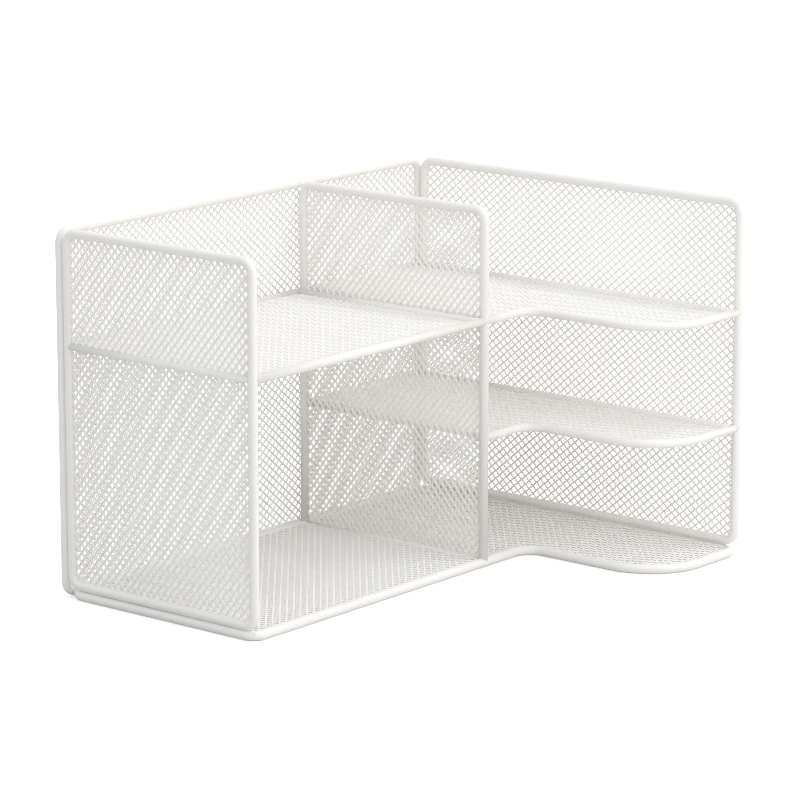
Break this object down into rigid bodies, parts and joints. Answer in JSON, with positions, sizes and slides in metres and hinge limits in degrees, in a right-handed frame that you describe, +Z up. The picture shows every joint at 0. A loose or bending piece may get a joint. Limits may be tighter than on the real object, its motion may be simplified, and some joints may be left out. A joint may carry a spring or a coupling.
{
  "type": "desktop book rack",
  "caption": "Free-standing desktop book rack of white steel rod and expanded-metal mesh: a tray, side and back panels, a divider and stepped shelves beside it.",
  "frame": {"origin": "centre of the bounding box's bottom face, on the surface that the rack stands on", "axes": "+X to the rack's right along its width, -Y to its open front, +Z up"},
  "size_m": [0.3906, 0.2998, 0.26],
  "materials": {
    "coated_rod": "semi-gloss white powder coat on round steel rod",
    "coated_mesh": "semi-gloss white powder coat on expanded steel mesh"
  },
  "bodies": {
    "root": {"bottom_tray_rim": "coated_rod", "bottom_tray_cross_rod": "coated_rod", "bottom_tray_left_mesh": "coated_mesh", "bottom_tray_right_mesh": "coated_mesh", "left_panel_frame": "coated_rod", "left_panel_cross_rail": "coated_rod", "left_panel_upper_mesh": "coated_mesh", "left_panel_lower_mesh": "coated_mesh", "back_panel_frame": "coated_rod", "back_panel_mesh": "coated_mesh", "right_panel_frame": "coated_rod", "right_panel_mesh": "coated_mesh", "divider_frame": "coated_rod", "divider_mesh": "coated_mesh", "left_shelf_rim": "coated_rod", "left_shelf_mesh": "coated_mesh", "right_upper_shelf_rim": "coated_rod", "right_upper_shelf_mesh": "coated_mesh", "right_middle_shelf_rim": "coated_rod", "right_middle_shelf_mesh": "coated_mesh"}
  },
  "joints": []
}
